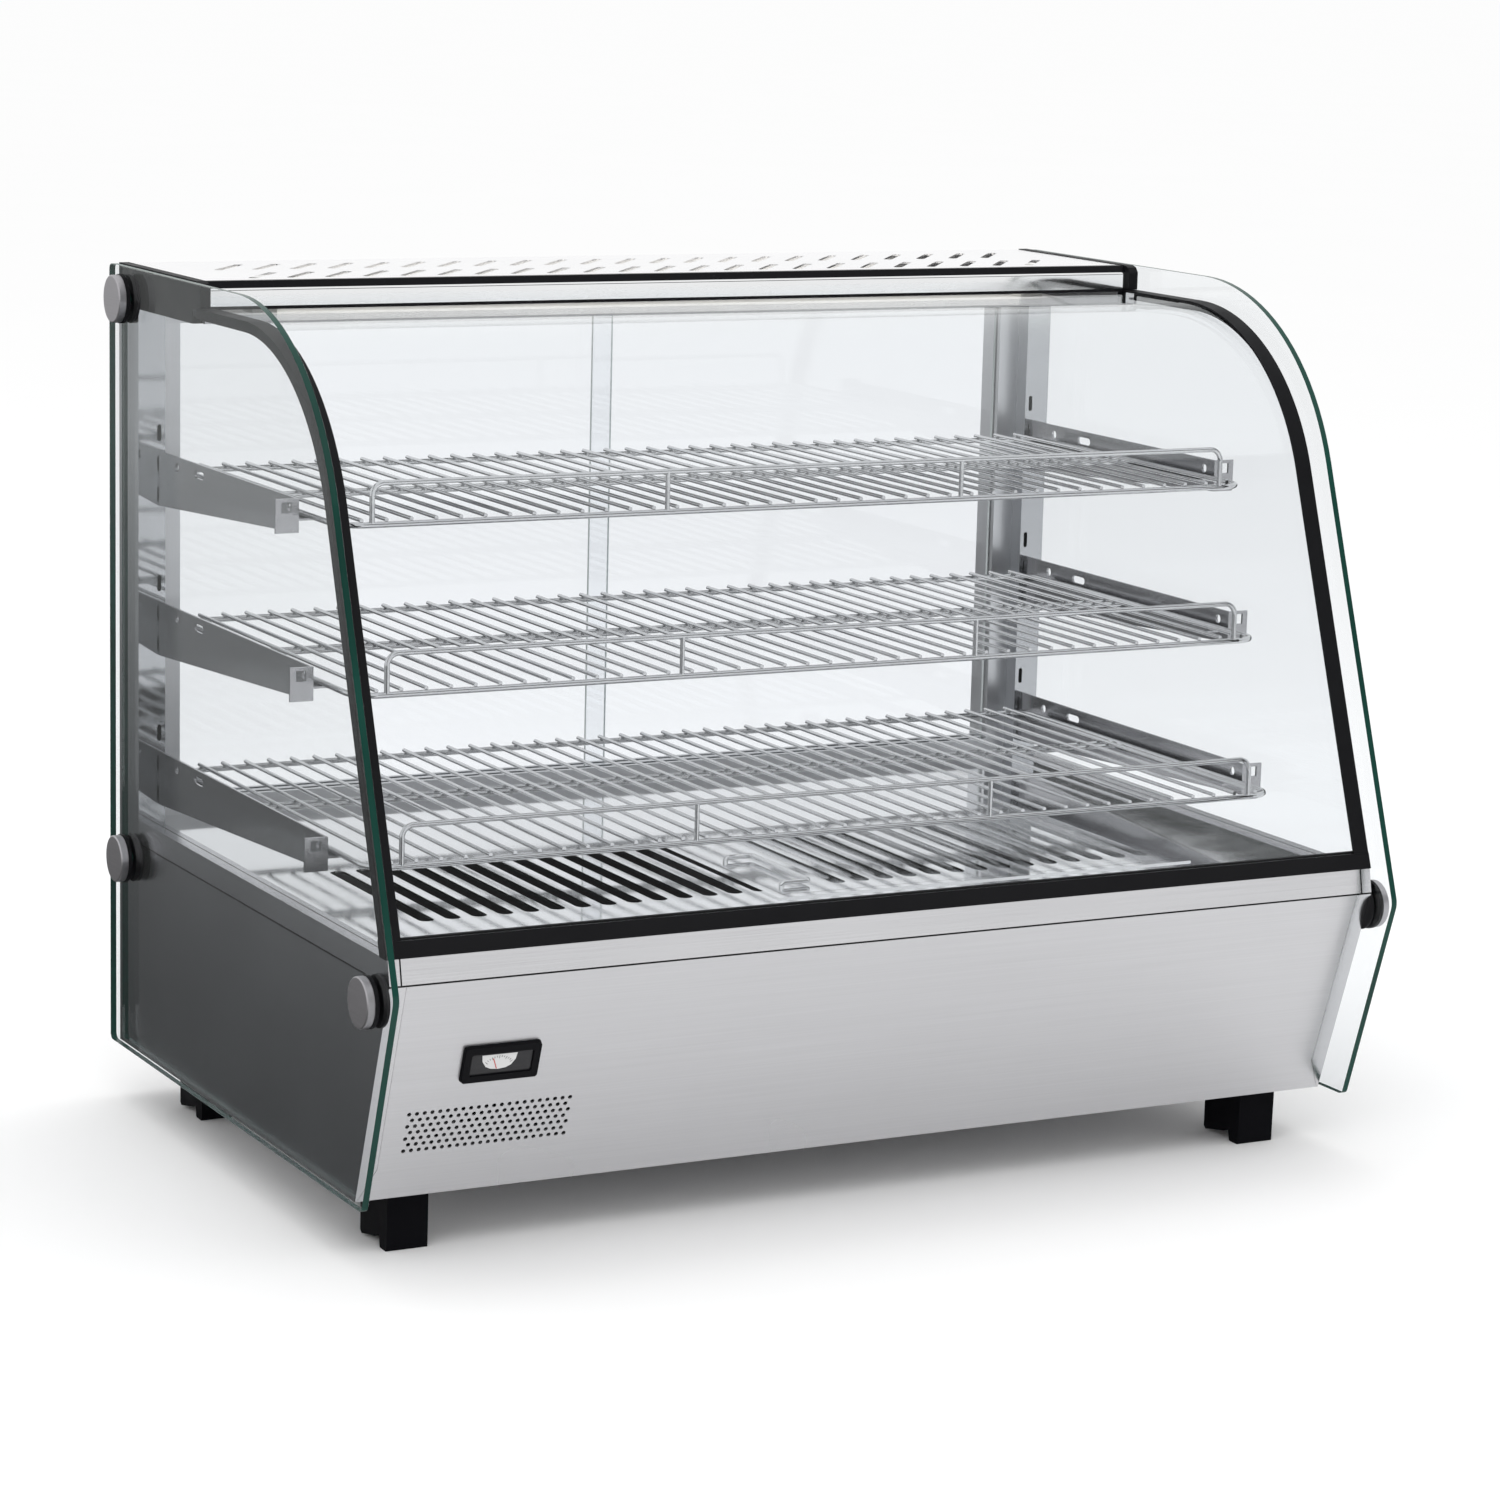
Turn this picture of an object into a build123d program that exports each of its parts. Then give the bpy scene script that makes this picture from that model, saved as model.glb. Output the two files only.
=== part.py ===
"""Countertop heated food display case: curved front glass, two side glasses, three wire shelves.

Millimetres. X is across the case, +X to the customer's right. The glass front faces -Y, the
sliding doors are at +Y, and Z = 0 is the counter that the feet stand on.
"""
import os
from math import atan, cos, degrees, pi, sin, tan

from build123d import *

# Overall size
GLASS_OUT = 419.0  # outer face of each side glass, from the middle of the case
SIDE_GLASS_T = 6.0
REAR_Y = 287.5  # rear edge of the side glasses
FRONT_Y = -288.0  # sharp nose of the side glasses
NOSE_Z = 210.0
TOP_Z = 667.0
BASE_Z = 45.0  # underside of the case
SHEET = 1.5

# Side glass outline
FRONT_SLOPE = 0.357  # set-back per unit of height above the nose
TOP_BEND_R = 195.0
GLASS_BOTTOM_Y = -234.5

# Cabinet
BODY_X = 411.0
DECK_Z = 231.5  # top of the polished floor
RIM_TOP = 233.0
RIM_BOTTOM = 215.0
RIM_FRONT_TOP_Y = -260.0
RIM_FRONT_BOTTOM_Y = -263.7
BASE_FRONT_Y = -205.8
BODY_REAR_Y = 286.0
TRIM_W = 13.0  # front returns of the side panels
REVEAL_H = 1.4  # shadow line between the rim and the panels under it
REVEAL_DEEP = 1.2
RIM_JOINT_X = 402.0  # where the front of the rim meets its side walls
MITRE_Z = 70.0
FOLD_Y = -248.0  # inner edge of the folds where the front panel meets the rim

# Rear posts and door frame
POST_W = 22.0
POST_FRONT_Y = 242.0
HOUSING_Z = 635.0
STILE_W = 18.0
TRACK_FRONT_Y = 258.0
TRACK_H = 13.0
DOOR_T = 4.0
FRONT_DOOR_Y = 265.5
REAR_DOOR_Y = 278.5
DOOR_OVERLAP = 12.0
DOOR_CLEAR = 1.0

# Curved front glass, as depths inward from the side glass outline
FRONT_GLASS_T = 5.0
GLASS_DEPTH = 21.0
SEAL_LIP = 1.5
SEAL_FACE_W = 12.0
FRONT_GLASS_BOTTOM = 236.0
SEAL_TOP_Z = 244.5

# Top housing
HOUSING_X = 403.0
HOUSING_FRONT_Y = 112.0
COVER_FRONT_Y = 117.0
GLASS_REAR_Y = 124.0  # top edge of the curved glass, under the housing
TRIM_Z = 662.0
CAP_NOSE_Y = 107.0  # the black end caps stand out past the housing's front

# Glass fixings: (y, z) of each round button
BUTTONS = [(256.5, 642.0), (252.8, 201.0), (-247.0, 201.4)]
BUTTON_R = 19.0
CAP_T = 6.0
COLLAR_T = 3.0
BOLT_R = 3.0
BOLT_HOLE_R = 3.1

# Shelves
SHELF_LEVELS = {"upper": (512.0, -103.5), "middle": (394.0, -133.5), "lower": (275.0, -163.5)}
SHELF_X = 384.0
SHELF_REAR_Y = 218.0
SHELF_MID_Y = 62.0
FRAME_R = 2.25
BAR_R = 1.5
BAR_PITCH = 19.35
BAR_COUNT = 39
GUARD_H = 30.0
GUARD_X = 360.0
GUARD_R = 2.0
UPRIGHT_X = 125.0
WELD = 0.4  # how far crossing wires melt into each other

# Shelf brackets
BRACKET_X = 394.0
BRACKET_T = 2.0
BRACKET_TIP = 57.0  # how far the shelf's front edge stands out past the bracket's tip
BRACKET_RISE = 13.0  # top edge above the shelf frame's centre
BRACKET_REAR_H = 43.0
BRACKET_TIP_H = 25.0
TAB_X = 411.0  # the tab folded out of each tip ends just short of the side glass
LEDGE_X = 376.0
HOOK_DROPS = [34.0, 10.0]  # hooks below the top edge of each bracket
SPARE_SLOT_RISE = 14.0  # one more slot in the post over each bracket

# Floor slots and water tray
SLOT_W = 12.0
SLOT_PITCH = 20.8
SLOT_COUNT = 14
SLOT_LEN = 177.0
SLOT_MID_Y = -67.0
LEFT_SLOTS_X = -199.5
RIGHT_SLOTS_X = 137.0
TRAY_BOX = (-60.0, 290.0, -178.0, 42.0)  # opening in the floor: x and y limits
TRAY_RIM = 6.0
TRAY_DEEP = 26.0

# Feet
FOOT_X = 364.0
FOOT_W = 32.0
FOOT_FRONTS = [-190.0, 183.0]  # y of the toes

# Thermometer and vent, both on the sloping front panel
PANEL_TILT = degrees(atan((BASE_FRONT_Y - RIM_FRONT_BOTTOM_Y) / (RIM_BOTTOM - BASE_Z)))
THERMOMETER_X = -316.0
THERMOMETER_Z = 147.5
VENT_X = -317.5
VENT_Z = 97.0
VENT_HOLE_R = 1.6
VENT_PITCH = 5.95
VENT_ROWS = 7
VENT_COLUMNS = 22

# Control recess in the rear panel
RECESS = (150.0, 372.0, 84.0, 164.0)  # x and z limits
RECESS_BACK_Y = 262.0
KNOB_X = 336.0
POWER_X = 280.0
LIGHT_X = 240.0
GLAND_X = 184.0
CONTROL_Z = 124.0
ROCKER_TILT = 8.0  # degrees either way from square

# Heater
ELEMENT_Z = 190.0
SHIELD_Z = 138.0  # top of the shield plate the element stands on
SHIELD = (-350.0, -78.0, -150.0, 18.0)  # x and y limits

# Screws in the back of the case: (x, z)
SCREWS = [(x, z) for x in (-366.0, -124.0, 124.0, 366.0) for z in (56.0, 221.0, 642.0)]
SCREW_R = 1.5
SCREW_HOLE_R = 1.55

LEAN = atan(FRONT_SLOPE)
BEND_TANGENT = TOP_BEND_R * tan((pi / 2 - LEAN) / 2)
BEND_Y = FRONT_Y + FRONT_SLOPE * (TOP_Z - NOSE_Z) + BEND_TANGENT
GLASS_IN = GLASS_OUT - SIDE_GLASS_T
SIDES = {"left": -1, "right": 1}


def save(piece, name):
    piece.part.label = name
    export_step(piece.part, f"parts/{name}.step")


def front_at(z, depth=0.0):
    """Y of the straight front edge of the glass outline at height z, moved inward by depth."""
    return FRONT_Y + FRONT_SLOPE * (z - NOSE_Z) + depth / cos(LEAN)


def panel_at(z):
    """Y of the lower front panel's outer face at height z."""
    return BASE_FRONT_Y - tan(PANEL_TILT * pi / 180) * (z - BASE_Z)


def span(side, inner, outer):
    """The x where an extrusion along +X starts, and its length, for a plate on one side."""
    return (inner if side > 0 else -outer), outer - inner


def block(x0, x1, y0, y1, z0, z1, mode=Mode.ADD):
    """A box given by its limits, added to the part being built."""
    with Locations(((x0 + x1) / 2, (y0 + y1) / 2, (z0 + z1) / 2)):
        Box(x1 - x0, y1 - y0, z1 - z0, mode=mode)


def yz_plate(points, x0, thick, mode=Mode.ADD):
    """A plate across X: the outline's points are (y, z)."""
    with BuildSketch(Plane.YZ.offset(x0)) as outline:
        with BuildLine():
            Polyline(*points, close=True)
        make_face()
    extrude(outline.sketch, amount=thick, mode=mode)


def bent_strip(depth, thick, x0, width, z_low, y_end, mode=Mode.ADD):
    """A strip that follows the front outline: straight, round the top bend, then level."""
    lean_deg = degrees(LEAN)
    radius = TOP_BEND_R - depth
    low = (front_at(z_low, depth), z_low)
    bend_start_z = TOP_Z - TOP_BEND_R + radius * cos(pi / 2 - LEAN)
    bend_start = (front_at(bend_start_z, depth), bend_start_z)
    inner_low = (front_at(z_low, depth + thick), z_low)
    inner_start_z = TOP_Z - TOP_BEND_R + (radius - thick) * cos(pi / 2 - LEAN)
    inner_start = (front_at(inner_start_z, depth + thick), inner_start_z)
    centre = (BEND_Y, TOP_Z - TOP_BEND_R)
    with BuildSketch(Plane.YZ.offset(x0)) as outline:
        with BuildLine():
            Line(low, bend_start)
            CenterArc(centre, radius, 90, 90 - lean_deg)
            Line((BEND_Y, TOP_Z - depth), (y_end, TOP_Z - depth))
            Line((y_end, TOP_Z - depth), (y_end, TOP_Z - depth - thick))
            Line((y_end, TOP_Z - depth - thick), (BEND_Y, TOP_Z - depth - thick))
            CenterArc(centre, radius - thick, 90, 90 - lean_deg)
            Line(inner_start, inner_low)
            Line(inner_low, low)
        make_face()
    extrude(outline.sketch, amount=width, mode=mode)


def wire(start, end, radius):
    """A straight round wire between two points."""
    run = Vector(end) - Vector(start)
    with BuildSketch(Plane(origin=start, z_dir=run)) as section:
        Circle(radius)
    extrude(section.sketch, amount=run.length)


def bent_wire(points, radius, bend, closed=False):
    """A round wire along straight runs joined by bends."""
    with BuildLine() as run:
        FilletPolyline(*points, radius=bend, close=closed)
    path = run.wire()
    with BuildSketch(Plane(origin=path @ 0, z_dir=path % 0)) as section:
        Circle(radius)
    sweep(section.sketch, path=path)


def x_cylinders(x0, length, radius, mode=Mode.ADD, places=BUTTONS):
    """Round bars or holes along X at the glass buttons."""
    with BuildSketch(Plane.YZ.offset(x0)) as circles:
        with Locations(*places):
            Circle(radius)
    extrude(circles.sketch, amount=length, mode=mode)


def side_glass(side):
    x0, thick = span(side, GLASS_IN, GLASS_OUT)
    with BuildPart() as glass:
        with BuildSketch(Plane.YZ.offset(x0)):
            with BuildLine():
                bend_z = TOP_Z - TOP_BEND_R * (1 - cos(pi / 2 - LEAN))
                Line((REAR_Y, TOP_Z), (BEND_Y, TOP_Z))
                CenterArc((BEND_Y, TOP_Z - TOP_BEND_R), TOP_BEND_R, 90, 90 - degrees(LEAN))
                Line((front_at(bend_z), bend_z), (FRONT_Y, NOSE_Z))
                Line((FRONT_Y, NOSE_Z), (GLASS_BOTTOM_Y, BASE_Z + 1))
                Line((GLASS_BOTTOM_Y, BASE_Z + 1), (REAR_Y, BASE_Z + 1))
                Line((REAR_Y, BASE_Z + 1), (REAR_Y, TOP_Z))
            make_face()
            fillet(vertices().group_by(Axis.X)[0], 14)
            fillet(vertices().group_by(Axis.X)[-1], 5)
            fillet(vertices().group_by(Axis.Y)[0].sort_by(Axis.X)[0], 5)
        extrude(amount=thick)
        x_cylinders(x0, thick, 4, mode=Mode.SUBTRACT)
        chamfer(glass.faces().filter_by(Axis.X).edges().filter_by(GeomType.CIRCLE, reverse=True), 0.6)
    return glass


def glass_fixings():
    with BuildPart() as caps:
        for side in SIDES.values():
            x0, thick = span(side, GLASS_OUT + COLLAR_T, GLASS_OUT + COLLAR_T + CAP_T)
            x_cylinders(x0, thick, BUTTON_R - 0.5)
        outer = caps.faces().filter_by(Axis.X)
        rims = outer.sort_by(Axis.X)[-3:].edges() + outer.sort_by(Axis.X)[:3].edges()
        fillet(rims, 1.2)
        for side in SIDES.values():
            x0, thick = span(side, GLASS_OUT + COLLAR_T, GLASS_OUT + COLLAR_T + 4)
            x_cylinders(x0, thick, BOLT_HOLE_R, mode=Mode.SUBTRACT)
    save(caps, "glass_button_caps")

    with BuildPart() as washers:
        for side in SIDES.values():
            for inner, outer in ((GLASS_OUT, GLASS_OUT + COLLAR_T), (BODY_X, GLASS_IN)):
                x0, thick = span(side, inner, outer)
                x_cylinders(x0, thick, BUTTON_R)
                x_cylinders(x0, thick, BOLT_HOLE_R, mode=Mode.SUBTRACT)
    save(washers, "glass_washers")

    with BuildPart() as bolts:
        for side in SIDES.values():
            x0, thick = span(side, HOUSING_X - 8, GLASS_OUT + COLLAR_T + 4)
            x_cylinders(x0, thick, BOLT_R)
    save(bolts, "glass_bolts")

    with BuildPart() as nuts:
        for side in SIDES.values():
            for inner, places in ((HOUSING_X - SHEET, BUTTONS[:1]), (BODY_X - SHEET, BUTTONS[1:])):
                x0, thick = span(side, inner - 5, inner)
                with BuildSketch(Plane.YZ.offset(x0)):
                    with Locations(*places):
                        RegularPolygon(5, 6, major_radius=False)
                        Circle(BOLT_HOLE_R, mode=Mode.SUBTRACT)
                extrude(amount=thick)
    save(nuts, "glass_nuts")


def curved_glass():
    x_edge = BODY_X - 0.2
    with BuildPart() as glass:
        bent_strip(GLASS_DEPTH, FRONT_GLASS_T, -x_edge, 2 * x_edge, FRONT_GLASS_BOTTOM,
                   GLASS_REAR_Y)
    save(glass, "front_glass")


def side_seal(side):
    """Black edging of the curved glass: a wide outer lip, a web and a narrow inner lip."""
    with BuildPart() as seal:
        total = FRONT_GLASS_T + 2 * SEAL_LIP
        x0, thick = span(side, BODY_X, GLASS_IN - 0.5)
        bent_strip(GLASS_DEPTH - SEAL_LIP, total, x0, thick, SEAL_TOP_Z, HOUSING_FRONT_Y - 0.5)
        x0, thick = span(side, BODY_X - SEAL_FACE_W, BODY_X)
        bent_strip(GLASS_DEPTH - SEAL_LIP, SEAL_LIP, x0, thick, SEAL_TOP_Z, HOUSING_FRONT_Y - 0.5)
        x0, thick = span(side, BODY_X - 5, BODY_X)
        bent_strip(GLASS_DEPTH + FRONT_GLASS_T, SEAL_LIP, x0, thick, SEAL_TOP_Z,
                   HOUSING_FRONT_Y - 0.5)
    return seal


def end_seals():
    """The channel that the curved glass stands in, and the strip over its top edge."""
    x_edge = GLASS_IN - 0.5
    outer, inner = GLASS_DEPTH - 2, GLASS_DEPTH + FRONT_GLASS_T + 3
    slot_in = GLASS_DEPTH + FRONT_GLASS_T
    with BuildPart() as seals:
        yz_plate([(front_at(RIM_TOP, outer), RIM_TOP), (front_at(SEAL_TOP_Z, outer), SEAL_TOP_Z),
                  (front_at(SEAL_TOP_Z, inner), SEAL_TOP_Z), (front_at(RIM_TOP, inner), RIM_TOP)],
                 -x_edge, 2 * x_edge)
        low, high = FRONT_GLASS_BOTTOM, SEAL_TOP_Z + 1
        yz_plate([(front_at(low, GLASS_DEPTH), low), (front_at(high, GLASS_DEPTH), high),
                  (front_at(high, slot_in), high), (front_at(low, slot_in), low)],
                 -BODY_X, 2 * BODY_X, mode=Mode.SUBTRACT)
        glass_top = TOP_Z - GLASS_DEPTH
        block(-HOUSING_X, HOUSING_X, HOUSING_FRONT_Y, HOUSING_FRONT_Y + 10, glass_top, glass_top + 2.5)
    save(seals, "front_glass_seals")


def side_panel(side):
    with BuildPart() as panel:
        x0, thick = span(side, BODY_X - SHEET, BODY_X)
        yz_plate([(POST_FRONT_Y, BASE_Z), (BASE_FRONT_Y, BASE_Z),
                  (RIM_FRONT_BOTTOM_Y, RIM_BOTTOM), (POST_FRONT_Y, RIM_BOTTOM)], x0, thick)
        x_cylinders(x0, thick, BOLT_HOLE_R, Mode.SUBTRACT, places=BUTTONS[2:])
        x0, thick = span(side, BODY_X - TRIM_W, BODY_X - SHEET)
        yz_plate([(panel_at(BASE_Z), BASE_Z), (RIM_FRONT_BOTTOM_Y, RIM_BOTTOM),
                  (RIM_FRONT_BOTTOM_Y + SHEET, RIM_BOTTOM), (panel_at(BASE_Z) + SHEET, BASE_Z)],
                 x0, thick)
        x0, thick = span(side, BODY_X - TRIM_W, BODY_X - SHEET)
        block(x0, x0 + thick, RIM_FRONT_BOTTOM_Y + SHEET, POST_FRONT_Y, RIM_BOTTOM - SHEET, RIM_BOTTOM)
        with BuildSketch(Plane.XZ.offset(-BASE_FRONT_Y - 40)):
            with BuildLine():
                tip = side * (BODY_X - SHEET)
                root = side * (BODY_X - TRIM_W)
                Polyline((root, BASE_Z - 1), (tip, BASE_Z - 1), (tip, BASE_Z + 1),
                         (root, MITRE_Z), close=True)
            make_face()
        extrude(amount=80, mode=Mode.SUBTRACT)
        front_reveal()
        x0, thick = span(side, BODY_X - SHEET / 2, BODY_X + 1)
        block(x0, x0 + thick, -270, POST_FRONT_Y + 1, RIM_BOTTOM - REVEAL_H, RIM_BOTTOM + 1, Mode.SUBTRACT)
    return panel


def front_reveal():
    """Cut the shadow line out of the top of a sloping front sheet."""
    block(-BODY_X - 1, BODY_X + 1, -270, RIM_FRONT_BOTTOM_Y + REVEAL_DEEP,
          RIM_BOTTOM - REVEAL_H, RIM_BOTTOM + 1, Mode.SUBTRACT)


def front_panel():
    """Sloping lower front: one sheet that widens below the mitre, with vent and cut-out."""
    with BuildPart() as panel:
        yz_plate([(panel_at(BASE_Z), BASE_Z), (RIM_FRONT_BOTTOM_Y, RIM_BOTTOM),
                  (RIM_FRONT_BOTTOM_Y + SHEET, RIM_BOTTOM), (panel_at(BASE_Z) + SHEET, BASE_Z)],
                 SHEET - BODY_X, 2 * (BODY_X - SHEET))
        yz_plate([(RIM_FRONT_BOTTOM_Y + 0.5, RIM_BOTTOM - SHEET), (RIM_FRONT_BOTTOM_Y + 0.5, RIM_BOTTOM),
                  (FOLD_Y, RIM_BOTTOM), (FOLD_Y, RIM_BOTTOM - SHEET)],
                 SHEET - BODY_X, 2 * (BODY_X - SHEET))
        for side in SIDES.values():
            tip = side * (BODY_X + 1)
            root = side * (BODY_X - TRIM_W - 0.2)
            edge = side * (BODY_X - SHEET)
            with BuildSketch(Plane.XZ.offset(-BASE_FRONT_Y - 40)):
                with BuildLine():
                    Polyline((root, MITRE_Z - 0.4), (edge, BASE_Z + 0.6), (tip, BASE_Z + 0.6),
                             (tip, RIM_BOTTOM + 1), (root, RIM_BOTTOM + 1), close=True)
                make_face()
            extrude(amount=120, mode=Mode.SUBTRACT)
        with BuildSketch(panel_plane(VENT_X, VENT_Z, 1)):
            rows = VENT_ROWS // 2 + 1
            row_step = VENT_PITCH * cos(pi / 6)
            with GridLocations(VENT_PITCH, 2 * row_step, VENT_COLUMNS, rows):
                Circle(VENT_HOLE_R)
            with GridLocations(VENT_PITCH, 2 * row_step, VENT_COLUMNS - 1, rows - 1):
                Circle(VENT_HOLE_R)
        extrude(amount=-2 - SHEET, mode=Mode.SUBTRACT)
        with BuildSketch(panel_plane(THERMOMETER_X, THERMOMETER_Z, 1)):
            Rectangle(53, 24)
        extrude(amount=-2 - SHEET, mode=Mode.SUBTRACT)
        front_reveal()
    save(panel, "front_panel")


def panel_plane(x, z, lift=0.0):
    """A plane on the sloping front panel at (x, z): its x runs along +X, its normal outward."""
    slope = PANEL_TILT * pi / 180
    normal = (0, -cos(slope), -tan(slope) * cos(slope))
    plane = Plane(origin=(x, panel_at(z), z), x_dir=(1, 0, 0), z_dir=normal)
    return plane.offset(lift)


def thermometer():
    plane = panel_plane(THERMOMETER_X, THERMOMETER_Z)
    with BuildPart() as bezel:
        with BuildSketch(plane):
            RectangleRounded(60, 30, 3)
        extrude(amount=3.5, taper=12)
        with BuildSketch(plane.offset(3.5)):
            RectangleRounded(48, 18, 1.5)
        extrude(amount=-3.5, mode=Mode.SUBTRACT)
        with BuildSketch(plane.offset(0.4)):
            RectangleRounded(52, 23, 1)
        extrude(amount=-16.4)
    save(bezel, "thermometer_case")

    with BuildPart() as window:
        with BuildSketch(plane.offset(0.4)):
            RectangleRounded(47.6, 17.6, 1.4)
        extrude(amount=1.6)
    save(window, "thermometer_window")


def top_rim():
    """Folded band round the cabinet top: a front wall, two side walls and a flange inward."""
    with BuildPart() as rim:
        flange_in = 396.0
        yz_plate([(RIM_FRONT_BOTTOM_Y, RIM_BOTTOM), (RIM_FRONT_TOP_Y, RIM_TOP),
                  (-242, RIM_TOP), (-242, DECK_Z), (RIM_FRONT_TOP_Y + SHEET, DECK_Z),
                  (RIM_FRONT_BOTTOM_Y + SHEET, RIM_BOTTOM)], -BODY_X, 2 * BODY_X)
        block(SHEET - BODY_X, BODY_X - SHEET, -262.5, FOLD_Y, RIM_BOTTOM, RIM_BOTTOM + SHEET)
        for side in SIDES.values():
            x0, thick = span(side, BODY_X - SHEET, BODY_X)
            block(x0, x0 + thick, -262, POST_FRONT_Y, RIM_BOTTOM, RIM_TOP)
            x0, thick = span(side, flange_in, BODY_X)
            block(x0, x0 + thick, -250, POST_FRONT_Y, DECK_Z, RIM_TOP)
            block(x0, x0 + thick, -250, POST_FRONT_Y, RIM_BOTTOM, RIM_BOTTOM + SHEET)
        yz_plate([(-300, RIM_BOTTOM - 1), (RIM_FRONT_BOTTOM_Y - 0.2, RIM_BOTTOM - 1),
                  (RIM_FRONT_TOP_Y + 0.006, RIM_TOP + 1), (-300, RIM_TOP + 1)],
                 -BODY_X - 1, 2 * BODY_X + 2, mode=Mode.SUBTRACT)
        for side in SIDES.values():
            x0, thick = span(side, RIM_JOINT_X - 0.5, RIM_JOINT_X + 0.5)
            yz_plate([(-300, RIM_BOTTOM - 1), (RIM_FRONT_BOTTOM_Y + 0.6, RIM_BOTTOM - 1),
                      (RIM_FRONT_TOP_Y + 0.8, RIM_TOP + 1), (-300, RIM_TOP + 1)],
                     x0, thick, mode=Mode.SUBTRACT)
    save(rim, "top_rim")


def floor_slots(x_mid):
    """Cut one row of long slots through the floor level."""
    with BuildSketch(Plane.XY.offset(DECK_Z - 4)) as slots:
        with Locations((x_mid, SLOT_MID_Y)):
            with GridLocations(SLOT_PITCH, 1, SLOT_COUNT, 1):
                SlotOverall(SLOT_LEN, SLOT_W, rotation=90)
    extrude(slots.sketch, amount=8, mode=Mode.SUBTRACT)


def rear_screw_holes(y):
    """Holes through the sheet just in front of y for the screws in the back."""
    with BuildSketch(Plane.XZ.offset(-y - 2)) as holes:
        with Locations(*SCREWS):
            Circle(SCREW_HOLE_R)
    extrude(holes.sketch, amount=6, mode=Mode.SUBTRACT)


def floor_plate():
    low = DECK_Z - SHEET
    skirt_low = RIM_BOTTOM + SHEET
    edge = BODY_X - SHEET - 0.5
    front, rear = FOLD_Y - 9, BODY_REAR_Y - SHEET
    post_in = BODY_X - POST_W
    x_low, x_high, y_low, y_high = TRAY_BOX
    with BuildPart() as plate:
        block(-edge, edge, front, POST_FRONT_Y, low, DECK_Z)
        block(-post_in, post_in, POST_FRONT_Y - 1, rear, low, DECK_Z)
        block(-edge, edge, front, front + SHEET, skirt_low, DECK_Z)
        block(-post_in, post_in, rear - SHEET, rear, RIM_BOTTOM - 5, DECK_Z)
        for side in SIDES.values():
            x0, thick = span(side, edge - SHEET, edge)
            block(x0, x0 + thick, front, POST_FRONT_Y, skirt_low, DECK_Z)
        rear_screw_holes(rear)
        floor_slots(LEFT_SLOTS_X)
        block(x_low, x_high, y_low, y_high, low - 1, DECK_Z + 1, Mode.SUBTRACT)
    save(plate, "floor_plate")


def water_tray():
    x_low, x_high, y_low, y_high = TRAY_BOX
    gap = 1.0
    rim_z = DECK_Z + 1.2
    with BuildPart() as tray:
        block(x_low - TRAY_RIM, x_high + TRAY_RIM, y_low - TRAY_RIM, y_high + TRAY_RIM, DECK_Z, rim_z)
        block(x_low + gap, x_high - gap, y_low + gap, y_high - gap, DECK_Z - TRAY_DEEP, DECK_Z)
        wall = gap + 1.2
        block(x_low + wall, x_high - wall, y_low + wall, y_high - wall,
              DECK_Z - TRAY_DEEP + 1.2, rim_z + 1, Mode.SUBTRACT)
        ledge = wall + 5
        with BuildSketch(Plane.XY.offset(rim_z - 3.2)):
            with Locations(((x_low + x_high) / 2, (y_low + y_high) / 2)):
                Rectangle(x_high - x_low - 2 * wall, y_high - y_low - 2 * wall)
                Rectangle(x_high - x_low - 2 * ledge, y_high - y_low - 2 * ledge, mode=Mode.SUBTRACT)
        extrude(amount=1.2)
    save(tray, "water_tray")

    handle_x, handle_z = -24.0, rim_z + 3.6
    with BuildPart() as lid:
        edge = wall + 0.6
        block(x_low + edge, x_high - edge, y_low + edge, y_high - edge, rim_z - 2, rim_z)
        floor_slots(RIGHT_SLOTS_X)
        bent_wire([(-47, -60, rim_z - 1), (-47, -60, handle_z), (handle_x, -60, handle_z),
                   (handle_x, -152, handle_z), (-47, -152, handle_z), (-47, -152, rim_z - 1)], 2, 2.5)
    save(lid, "tray_lid")


def base_pan():
    with BuildPart() as pan:
        front = BASE_FRONT_Y + SHEET + 0.3
        side = BODY_X - SHEET
        post_in = BODY_X - POST_W
        rear = BODY_REAR_Y - SHEET
        block(-side, side, front, POST_FRONT_Y, BASE_Z, BASE_Z + SHEET)
        block(-post_in, post_in, POST_FRONT_Y - 1, rear, BASE_Z, BASE_Z + SHEET)
        block(-post_in, post_in, rear - SHEET, rear, BASE_Z, BASE_Z + 16)
        for direction in SIDES.values():
            x0, thick = span(direction, side - SHEET, side)
            block(x0, x0 + thick, front + 10, POST_FRONT_Y, BASE_Z, BASE_Z + 16)
        rear_screw_holes(rear)
    save(pan, "base_pan")


def feet():
    """Four moulded feet: a toe at the front of each, a notch, and a heel that slopes down again."""
    with BuildPart() as set_of_four:
        for front in FOOT_FRONTS:
            for side in SIDES.values():
                x0 = side * FOOT_X - FOOT_W / 2
                yz_plate([(front, 0), (front + 12, 0), (front + 14, 8.5), (front + 22, 6),
                          (front + 46, 1.2), (front + 48.5, 3.5), (front + 48.5, BASE_Z),
                          (front - 1, BASE_Z)], x0, FOOT_W)
        fillet(set_of_four.edges().group_by(Axis.Z)[0].filter_by(Axis.X), 1.5)
    save(set_of_four, "feet")


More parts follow.
